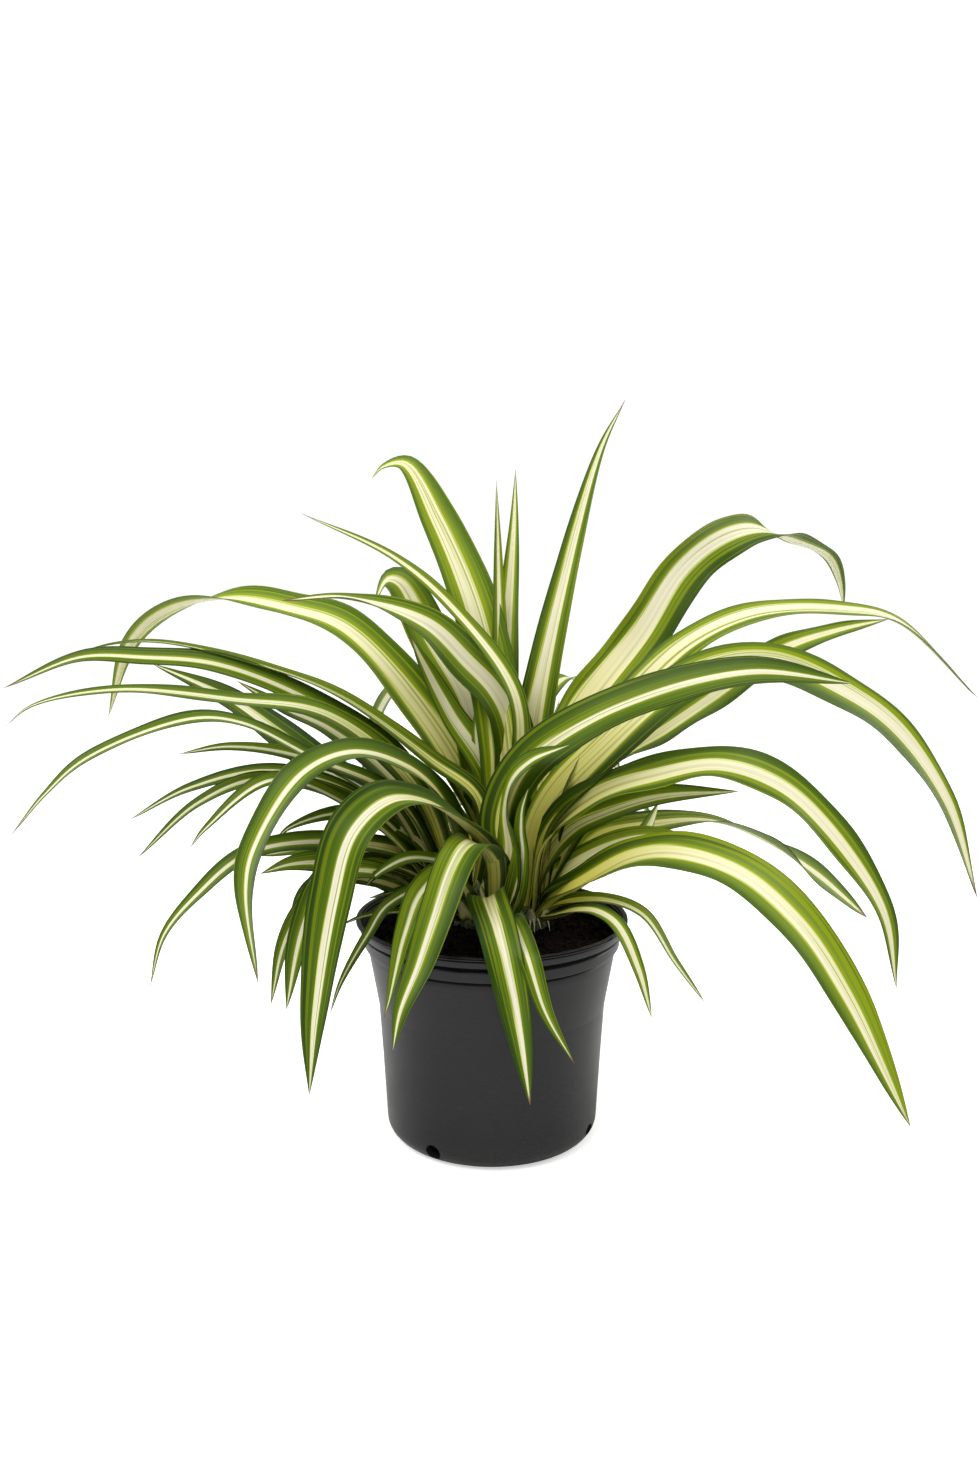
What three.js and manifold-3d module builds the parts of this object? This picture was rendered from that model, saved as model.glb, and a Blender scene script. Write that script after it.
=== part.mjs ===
// Potted spider plant: a clump of five crowns of arching strap leaves in a moulded nursery pot.
// Units are millimetres, +Z is up. The origin is the middle of the pot's underside, and the side
// from which the plant is usually seen is -Y.
import * as THREE from 'three';
import { mergeVertices } from 'three/addons/utils/BufferGeometryUtils.js';
import Module from 'manifold-3d';

const wasm = await Module();
wasm.setup();

// ---------------------------------------------------------------- driving dimensions
const rimRadius = 82.5;          // a 165 mm (6.5 inch) nursery pot
const potHeight = 135.5;
const baseRadius = 64.7;         // wall radius just above the rounded bottom corner
const cornerRadius = 10;         // rounding between wall and underside
const wall = 2;                  // thickness of the moulded wall and base
const potSides = 36;

const holeRadius = 5;            // drainage holes through the bottom corner
const holeHeight = 8;
const holeInset = 3;             // a hole's axis has this height this far inside the wall
const holeTilt = 15;             // degrees that a hole's axis points down
const holeHeadings = [-122.5, -24.5, 55.5, 157.5];
const drillLength = 22;
const drillSides = 16;

const soilTop = 123;             // 12.5 mm under the rim
const soilGap = 0.4;             // clearance of the soil to the pot
const soilWave = 1.1;            // height of the low mounds on its surface
const moundX = 9.5;              // and how far apart they lie, as the divisors of their waves
const moundY = 11;
const ripple = 6;

const crownRadius = 10.5;        // stub that the leaves of one crown grow from
const crownDepth = 18;           // how far the stub stands in the soil
const crownRise = 13;            // and how far it stands out of it
const crownNeck = 3;             // it starts to narrow this far above the soil
const shoulderShare = 0.8;       // radius of its shoulder, as a share of the stub's
const shoulderRise = 9;          // height of the shoulder above the soil
const crownSides = 12;
const seatGap = 0.3;             // clearance of a stub in its hole

const bladeThickness = 0.9;
const stepLength = 160;          // a blade has one straight step for each such length
const stepTurn = 38;             // and one for each such turn of its midrib, in degrees
const tipHalfWidth = 0.7;        // a blade's point is this narrow, half across
const neckShare = 0.6;           // width at the crown, as a share of the widest
const neckFold = 46;             // degrees that each half is folded up, at the crown
const neckEnd = 0.24;            // share of its length at which the blade reaches full width
const bladeFold = 14;            // fold along the open blade
const openEnd = 0.35;            // which starts at this share of the length
const rollStart = 0.1;           // a blade turns from one roll to the other between these shares
const rollEnd = 0.65;            // of its length
const twistStart = 0.62;         // and where its end twists, it does so between these
const twistEnd = 0.85;
const bladeRoot = 6;             // a midrib starts this far above the soil, inside the stub
const rootShare = 0.15;          // and this share of its first reach away from the stub's axis

// ---------------------------------------------------------------- the leaves
// One row is one leaf:
//   [heading, width, taper, roll at its base, roll at its tip, [reach, height], ...].
//   heading       degrees from +X towards +Y in which the leaf leaves its crown
//   width         of the blade at its widest
//   taper         the higher, the later the blade narrows to its point
//   roll          degrees that the blade turns about its own midrib, to the right as seen
//                 from the crown
//   reach, height points that the midrib passes, out from the crown and up from the table. A third
//                 number is how far a point lies to the right, as seen from the crown
const crowns = {
  centre: { x: 6, y: 34, leaves: [
    [35, 29, 1.9, 50, 35, [17, 197], [28, 260], [50, 341], [76, 415], [96, 447]],
    [75, 25, 2.4, 20, -10, [7, 190, -2], [15, 240, -3], [24, 310, -2], [31, 370], [34, 403]],
    [100, 20, 2, -20, 20, [3, 190], [6, 270], [12, 340], [18, 396]],
    [150, 33, 5.2, -50, -45, [-2, 225], [6, 274], [20, 323], [45, 373], [69, 407], [87, 405],
      [95, 398]],
    [165, 16, 2.4, -40, -40, [-14, 225, -8], [-11, 270, -12], [28, 320, -10], [67, 350, -6],
      [129, 376, -2]],
    [171, 34, 4, -50, -25, [14, 196], [50, 257], [97, 307], [133, 319], [174, 325], [213, 316],
      [240, 294], [258, 246]],
    [205, 28, 5, -105, -80, [-2, 167], [-7, 204], [-9, 232], [-4, 253], [6, 270], [23, 287], [50, 312],
      [100, 329], [138, 328]],
    [155, 31, 9, -50, -45, [16, 236], [25, 262], [49, 299], [70, 333], [80, 335], [90, 318]],
    [184, 24, 5, -55, -50, [6, 211], [32, 255], [50, 290], [56, 303]],
    [175, 15, 2.5, -85, -85, [4, 190], [9, 216], [15, 240], [12, 276]],
    [60, 15, 2, 20, 10, [30, 180], [51, 203], [69, 237], [79, 254]],
  ] },
  right: { x: 24, y: 14, leaves: [
    [-4, 31, 5.5, 55, 45, [6, 188], [46, 237], [96, 279], [140, 289], [188, 270], [217, 249],
      [248, 207], [270, 147]],
    [14, 27, 5, 50, 20, [22, 213], [68, 268], [102, 298], [145, 315], [205, 316], [244, 308],
      [305, 256]],
    [38, 34, 4.5, 5, 70, [25, 232], [95, 302], [128, 338], [164, 358], [201, 365], [243, 356],
      [278, 344], [291, 325], [296, 304]],
    [28, 23, 5, -20, 48, [49, 215], [98, 240], [133, 257], [190, 286], [237, 297], [286, 303]],
    [-27, 27, 5, 42, 38, [8, 180], [40, 211], [78, 227], [118, 237], [153, 229], [179, 209], [213, 164],
      [222, 120]],
    [4, 20, 4, 45, 40, [15, 166], [42, 202], [79, 217], [116, 221]],
    [-8, 26, 3, 45, 40, [6, 164], [23, 187], [46, 199], [78, 209], [125, 213]],
    [24, 24, 9, 40, -6, [20, 150], [48, 176], [84, 181], [133, 179], [177, 160], [217, 133], [262, 96]],
    [-18, 22, 4, 45, 40, [6, 147], [24, 163], [55, 181], [79, 186], [115, 179]],
    [-42, 29, 6, 38, 30, [15, 145], [35, 158], [75, 182], [108, 190], [148, 186], [184, 166],
      [214, 133], [252, 72]],
    [-12, 12.5, 5, 20, 15, [18, 140], [47, 144], [70, 136], [90, 107], [108, 83]],
    [-47, 12, 5, 15, 12, [22, 136], [38, 143], [56, 146], [72, 141], [88, 119], [99, 92]],
    [15, 18, 8, -60, -60, [20, 143], [36, 153], [55, 164], [74, 179], [83, 197]],
  ] },
  left: { x: -14, y: 20, leaves: [
    [177, 15, 5, -50, -5, [-7, 202], [22, 227], [76, 266], [118, 283], [186, 299], [218, 298],
      [244, 291]],
    [180, 18, 6, -45, -40, [42, 226], [97, 265], [152, 287], [196, 291], [235, 291], [282, 272]],
    [188, 22, 3, -45, -20, [30, 206], [84, 257], [142, 268], [208, 275], [257, 266], [272, 254]],
    [155, 28, 4, -45, -30, [20, 166], [73, 195], [137, 234], [176, 255], [239, 275]],
    [165, 25, 4, -40, -20, [44, 207], [89, 242], [121, 255], [153, 271]],
    [201, 16, 5, -30, -20, [44, 206], [97, 236], [138, 259], [167, 263], [225, 244], [248, 225],
      [267, 203]],
    [194, 15, 5, -30, -30, [55, 210], [102, 234], [143, 242], [173, 239]],
    [186, 15, 5, -30, -30, [55, 197], [116, 223], [168, 214], [205, 195]],
    [196, 14, 5, -30, -30, [55, 195], [124, 223], [163, 211], [199, 180]],
    [208, 14, 5, -30, -30, [60, 193], [125, 228], [165, 204], [175, 193]],
    [216, 29, 5, -44, -10, [7, 181], [20, 208], [42, 228], [81, 242], [115, 233], [146, 195],
      [152, 171], [146, 116]],
    [203, 19, 2.8, -30, -30, [32, 168], [88, 185], [138, 183], [168, 162], [188, 140], [197, 110]],
    [192, 17, 3, -45, -45, [31, 178], [74, 198], [109, 191], [120, 182]],
    [178, 21, 4, -50, -40, [37, 159], [87, 173], [125, 167], [132, 166]],
    [206, 15.5, 3, -30, -30, [57, 157], [96, 164], [109, 155], [117, 124]],
    [218, 18, 6, -30, -30, [62, 167], [102, 171], [120, 143], [131, 98]],
    [222, 15, 4, -35, -25, [7, 159], [29, 170], [49, 174], [70, 169], [80, 163]],
    [192, 23, 4, -50, -40, [56, 158], [90, 168], [110, 168], [128, 163]],
    [184, 11, 3, -30, -30, [55, 203], [97, 229], [122, 233]],
    [215, 10, 3, -10, -10, [36, 138], [55, 141], [75, 142], [92, 139]],
    [176, 11, 3, 20, 20, [43, 179], [70, 203], [81, 213], [104, 219]],
    [210, 9, 3, -30, -20, [28, 149], [41, 152], [70, 150]],
    [209, 16, 4, -30, -25, [30, 156], [62, 172], [90, 168], [112, 150], [120, 133]],
    [213, 18, 4, -30, -25, [34, 156], [66, 171], [93, 166], [114, 151], [126, 133], [135, 98]],
  ] },
  front: { x: 2, y: -8, leaves: [
    [-14, 30, 6, 85, 45, [6, 170], [4, 194], [10, 216], [24, 236], [56, 259], [99, 278], [150, 290],
      [202, 285]],
    [-78, 24, 4, 10, 10, [6, 142, 3], [18, 156, 8], [36, 160, 13], [62, 151, 13], [79, 137, 12],
      [89, 101, 6.5], [93, 58, 0.5]],
    [-70, 15, 3.6, 15, 10, [20, 140], [55, 148, 8], [72, 141, 9], [81, 137, 10], [92, 110, 4.5],
      [100, 82, -9]],
    [222, 30, 5, -10, -30, [3, 176], [22, 198], [52, 217], [80, 222], [106, 207], [120, 172],
      [133, 107], [137, 64]],
    [244, 23, 5, -5, -20, [-8, 150], [2, 172], [22, 188], [46, 192, -4], [68, 185, -7], [88, 160, -6],
      [101, 139, -4], [117, 117, -1], [124, 98]],
    [233, 17, 3, -20, -30, [43, 175], [70, 169], [84, 149], [98, 112], [102, 104]],
    [217, 10, 3, -20, -30, [38, 163], [76, 158], [90, 143], [108, 119], [116, 101]],
    [-35, 28, 3, 100, 50, [8.5, 178], [5, 201], [10, 221], [24, 235], [51, 247]],
    [-40, 16, 3, 110, 90, [14, 150], [20, 178], [19, 193], [20, 206], [25, 219]],
  ] },
  back: { x: 2, y: 58, leaves: [
    [62, 22, 3.6, 10, 0, [16, 195], [58, 246], [112, 262], [170, 232], [214, 160]],
    [92, 24, 3.6, 0, 10, [14, 205], [44, 262], [94, 286], [156, 262], [206, 186]],
    [120, 22, 3.6, 0, -10, [16, 200], [54, 250], [108, 264], [168, 234], [210, 158]],
    [40, 18, 3, 10, 10, [24, 168], [64, 196], [106, 196], [142, 166], [162, 126]],
    [148, 18, 3, -10, -10, [24, 172], [70, 208], [124, 216], [176, 186], [210, 134]],
    [76, 17, 3, 10, 0, [24, 165], [66, 190], [112, 172], [142, 118]],
    [106, 17, 3, -10, 0, [24, 165], [64, 186], [106, 166], [134, 112]],
    [52, 14, 3, 10, 0, [24, 150], [54, 164], [82, 150], [98, 116]],
    [134, 14, 3, -10, 0, [26, 150], [60, 164], [90, 148], [110, 108]],
  ] },
};

// Leaves whose ends twist: degrees added to the roll, by crown and by row from 0
const endTwists = { centre: { 5: 60, 6: 66 }, right: { 2: -85, 7: 62 } };

// ---------------------------------------------------------------- small helpers
const radians = (degrees) => degrees * Math.PI / 180;

function lathe(profile, sides) {
  const points = profile.map(([radius, height]) => new THREE.Vector2(radius, height));
  const geometry = new THREE.LatheGeometry(points, sides);
  return geometry.rotateX(Math.PI / 2);
}

function weld(geometry) {
  const bare = geometry.clone();
  bare.deleteAttribute('normal');
  bare.deleteAttribute('uv');
  return mergeVertices(bare, 1e-4);
}

function solid(geometry) {
  const welded = weld(geometry);
  const vertProperties = new Float32Array(welded.attributes.position.array);
  const triVerts = new Uint32Array(welded.index.array);
  return new wasm.Manifold(new wasm.Mesh({ numProp: 3, vertProperties, triVerts }));
}

function geometryOf(manifold) {
  const mesh = manifold.getMesh();
  const geometry = new THREE.BufferGeometry();
  geometry.setAttribute('position', new THREE.BufferAttribute(mesh.vertProperties, 3));
  geometry.setIndex(new THREE.BufferAttribute(mesh.triVerts, 1));
  geometry.computeVertexNormals();
  return geometry;
}

// The outer skin of the largest piece: hollows that fusing sealed are filled, scraps dropped.
function filled(manifold) {
  const skins = manifold.decompose();
  return skins.reduce((best, skin) => (skin.volume() > best.volume() ? skin : best));
}

function namedMesh(name, manifold, material) {
  const mesh = new THREE.Mesh(geometryOf(manifold), material);
  mesh.name = name;
  return mesh;
}

// ---------------------------------------------------------------- pot
// [radius, height] up the outside, from the end of the bottom corner to the top of the rim
const outerWall = [
  [66.9, 50], [69, 82], [74.6, 114],
  [74.3, 116.3], [74.6, 118.4],                                    // lower groove
  [77.4, 119.2], [78, 125.6],                                      // lower band
  [76.6, 126.4], [76.8, 127.8],                                    // upper groove
  [80, 128.8], [80.8, 133],                                        // upper band
  [rimRadius, 133.8], [rimRadius - 0.3, potHeight],
];
// and down the inside, to the start of the flat floor
const innerWall = [
  [79.6, potHeight], [75.2, 124], [70.9, 105], [67, 82], [64.9, 50], [baseRadius - wall, 10], [55, wall],
];

function potSolid() {
  const profile = [[0, 0]];
  const cornerSteps = 3;
  for (let i = 0; i <= cornerSteps; i++) {
    const turn = radians(90 * i / cornerSteps);
    profile.push([
      baseRadius - cornerRadius * (1 - Math.sin(turn)),
      cornerRadius * (1 - Math.cos(turn)),
    ]);
  }
  profile.push(...outerWall, ...innerWall, [0, wall]);
  let pot = solid(lathe(profile, potSides));
  for (const heading of holeHeadings) {
    const drill = new THREE.CylinderGeometry(holeRadius, holeRadius, drillLength, drillSides);
    drill.rotateZ(radians(-90 - holeTilt));
    drill.translate(baseRadius - holeInset, 0, holeHeight);
    drill.rotateZ(radians(heading));
    pot = pot.subtract(solid(drill));
  }
  return pot;
}

// ---------------------------------------------------------------- soil
function soilSolid() {
  const side = innerWall
    .filter(([, height]) => height < soilTop)
    .reverse()
    .map(([radius, height]) => [radius - soilGap, height + soilGap]);
  const top = [[73.4, soilTop - 2.5], [64, soilTop], [43, soilTop], [22, soilTop], [0, soilTop]];
  const geometry = lathe([[0, wall + soilGap], ...side, ...top], potSides);
  const position = geometry.attributes.position;
  for (let i = 0; i < position.count; i++) {
    const x = position.getX(i);
    const y = position.getY(i);
    if (position.getZ(i) >= soilTop) {
      const mounds = Math.sin(x / moundX + 1) * Math.cos(y / moundY) + 0.5 * Math.sin((x - y) / ripple);
      position.setZ(i, soilTop + soilWave * mounds);
    }
  }
  let soil = solid(geometry);
  for (const { x, y } of Object.values(crowns)) {
    const bore = new THREE.CylinderGeometry(
      crownRadius + seatGap, crownRadius + seatGap, crownDepth + crownRise, crownSides);
    bore.rotateX(Math.PI / 2);
    bore.translate(x, y, soilTop - seatGap + (crownRise - crownDepth) / 2);
    soil = soil.subtract(solid(bore));
  }
  return soil;
}

// ---------------------------------------------------------------- leaves
// Share of the full width at a place along the blade: a narrow neck, a long broad stretch and
// a drawn-out point.
function widthShare(along, taper) {
  const neck = neckShare + (1 - neckShare) * THREE.MathUtils.smoothstep(along, 0, neckEnd);
  return neck * (1 - along ** taper);
}

// Degrees that each half of the blade is folded up beside the midrib
function foldAngle(along) {
  return neckFold - (neckFold - bladeFold) * THREE.MathUtils.smoothstep(along, 0, openEnd);
}

// Straight steps that a midrib is cut into: more where it is long, and more where it bends
function stepsAlong(midrib) {
  const samples = 16;
  let turn = 0;
  for (let i = 0; i < samples; i++) {
    const here = midrib.getTangentAt(i / samples);
    turn += here.angleTo(midrib.getTangentAt((i + 1) / samples));
  }
  return Math.round(midrib.getLength() / stepLength + turn / radians(stepTurn)) + 1;
}

function bladeSolid(crown, [heading, width, taper, rollBase, rollTip, ...path], endTwist = 0) {
  const out = new THREE.Vector3(Math.cos(radians(heading)), Math.sin(radians(heading)), 0);
  const right = new THREE.Vector3(out.y, -out.x, 0);
  const root = new THREE.Vector3(crown.x, crown.y, 0);
  const place = ([reach, height, aside = 0]) => (
    root.clone().addScaledVector(out, reach).addScaledVector(right, aside).setZ(height));
  const start = place([path[0][0] * rootShare, soilTop + bladeRoot]);
  const midrib = new THREE.CatmullRomCurve3([start, ...path.map(place)]);

  const steps = stepsAlong(midrib);
  const vertices = [];
  for (let i = 0; i <= steps; i++) {
    const along = i / steps;
    const middle = midrib.getPointAt(along);
    const forward = midrib.getTangentAt(along);
    const up = new THREE.Vector3().crossVectors(right, forward).normalize();
    const turned = THREE.MathUtils.smoothstep(along, rollStart, rollEnd);
    const twisted = THREE.MathUtils.smoothstep(along, twistStart, twistEnd);
    const roll = radians(THREE.MathUtils.lerp(rollBase, rollTip, turned) + endTwist * twisted);
    const across = right.clone().multiplyScalar(Math.cos(roll)).addScaledVector(up, -Math.sin(roll));
    const normal = up.clone().multiplyScalar(Math.cos(roll)).addScaledVector(right, Math.sin(roll));
    const half = Math.max(tipHalfWidth, width / 2 * widthShare(along, taper));
    const fold = radians(foldAngle(along));
    const rise = normal.clone().multiplyScalar(half * Math.sin(fold) / 2);
    const spread = across.clone().multiplyScalar(half * Math.cos(fold));
    const top = [
      middle.clone().sub(spread).add(rise),
      middle.clone().sub(rise),
      middle.clone().add(spread).add(rise),
    ];
    const under = top.map((point) => point.clone().addScaledVector(normal, -bladeThickness));
    vertices.push(...top, ...under.reverse());
  }

  // A section is left edge, midrib, right edge on top, then right, midrib, left underneath.
  const indices = [];
  const sides = 6;
  const quad = (a, b, c, d) => indices.push(a, b, c, a, c, d);
  for (let i = 0; i < steps; i++) {
    const here = i * sides;
    const next = here + sides;
    const strips = [[0, 1], [1, 2], [2, 3], [3, 4], [4, 5], [5, 0]];
    for (const [a, b] of strips) {
      if (a >= 3) quad(here + a, here + b, next + b, next + a);
      else {
        indices.push(here + a, here + b, next + a, here + b, next + b, next + a);
      }
    }
  }
  const last = steps * sides;
  indices.push(0, 4, 1, 0, 5, 4, 1, 4, 3, 1, 3, 2);
  indices.push(last, last + 1, last + 4, last, last + 4, last + 5);
  indices.push(last + 1, last + 2, last + 3, last + 1, last + 3, last + 4);

  const geometry = new THREE.BufferGeometry();
  const positions = new Float32Array(vertices.flatMap((point) => point.toArray()));
  geometry.setAttribute('position', new THREE.BufferAttribute(positions, 3));
  geometry.setIndex(indices);
  return solid(geometry);
}

function crownSolid(name, crown) {
  const stub = lathe([
    [0, soilTop - crownDepth],
    [crownRadius, soilTop - crownDepth],
    [crownRadius, soilTop + crownNeck],
    [crownRadius * shoulderShare, soilTop + shoulderRise],
    [0, soilTop + crownRise],
  ], crownSides);
  stub.translate(crown.x, crown.y, 0);
  const twists = endTwists[name] ?? {};
  const blades = crown.leaves.map((leaf, row) => bladeSolid(crown, leaf, twists[row]));
  return filled(blades.reduce((sum, blade) => sum.add(blade), solid(stub)));
}

// ---------------------------------------------------------------- materials and assembly
const materials = {
  pot: new THREE.MeshStandardMaterial({ color: 0x2f2f30, roughness: 0.42, metalness: 0 }),
  soil: new THREE.MeshStandardMaterial({ color: 0x1d1413, roughness: 0.95, metalness: 0 }),
  leaf: new THREE.MeshStandardMaterial({ color: 0x5f8a2c, roughness: 0.5, metalness: 0 }),
};

const plant = new THREE.Group();
plant.add(namedMesh('pot', potSolid(), materials.pot));
plant.add(namedMesh('soil', soilSolid(), materials.soil));
for (const [name, crown] of Object.entries(crowns)) {
  plant.add(namedMesh(`rosette_${name}`, crownSolid(name, crown), materials.leaf));
}

export default plant;
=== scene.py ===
"""Potted spider plant: striped strap blades in five crowns, a moulded pot and dark potting mix.

Tables and sizes are in millimetres, and mm turns them into Blender's metres. Angles are in
degrees. +Z is up, the pot stands on z = 0 round the Z axis, and the plant is usually seen from -Y.
"""
import math
import random

import bmesh
import bpy
import numpy as np
from mathutils import Matrix, Vector, noise


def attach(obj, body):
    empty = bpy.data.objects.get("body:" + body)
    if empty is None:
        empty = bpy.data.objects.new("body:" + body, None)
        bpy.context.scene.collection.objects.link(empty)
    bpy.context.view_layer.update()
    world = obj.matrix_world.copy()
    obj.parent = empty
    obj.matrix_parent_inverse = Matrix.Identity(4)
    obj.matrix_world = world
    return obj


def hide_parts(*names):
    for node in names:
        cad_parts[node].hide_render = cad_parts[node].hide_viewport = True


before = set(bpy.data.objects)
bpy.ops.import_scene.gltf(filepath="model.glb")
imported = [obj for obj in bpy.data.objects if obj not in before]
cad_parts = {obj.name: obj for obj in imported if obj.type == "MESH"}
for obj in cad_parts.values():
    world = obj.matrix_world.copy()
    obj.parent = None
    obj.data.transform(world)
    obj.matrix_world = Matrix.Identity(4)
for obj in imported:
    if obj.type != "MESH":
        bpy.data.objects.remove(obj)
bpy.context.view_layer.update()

mm = 0.001

# ---------------------------------------------------------------- driving dimensions
rim_radius = 82.5
pot_height = 135.5
base_radius = 64.7
corner_radius = 10
wall = 2
edge_radius = 0.9
pot_segments = 180
hole_radius = 5
hole_height = 8
hole_inset = 3
hole_tilt = 15
hole_headings = (-122.5, -24.5, 55.5, 157.5)

soil_top = 123
soil_gap = 0.4

# The stub of a crown stands out of the soil by crown_rise, and reaches into it by crown_sunk.
crown_radius = 10.5
crown_rise = 13
crown_sunk = 4

# A midrib starts blade_root above the soil, at root_share of the reach of its first point. A blade
# is neck_share of its width at its foot, where it is also folded most. Starts and ends are shares
# of its length.
blade_root = 6
root_share = 0.15
neck_share = 0.6
neck_end = 0.24
neck_fold = 46
blade_fold = 14
open_end = 0.35
roll_start = 0.1
roll_end = 0.65
twist_start = 0.62
twist_end = 0.85
blade_thickness = 0.7
tip_half_width = 0.12
wave_length = 62
steps_along = 90
points_round = 20

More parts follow.
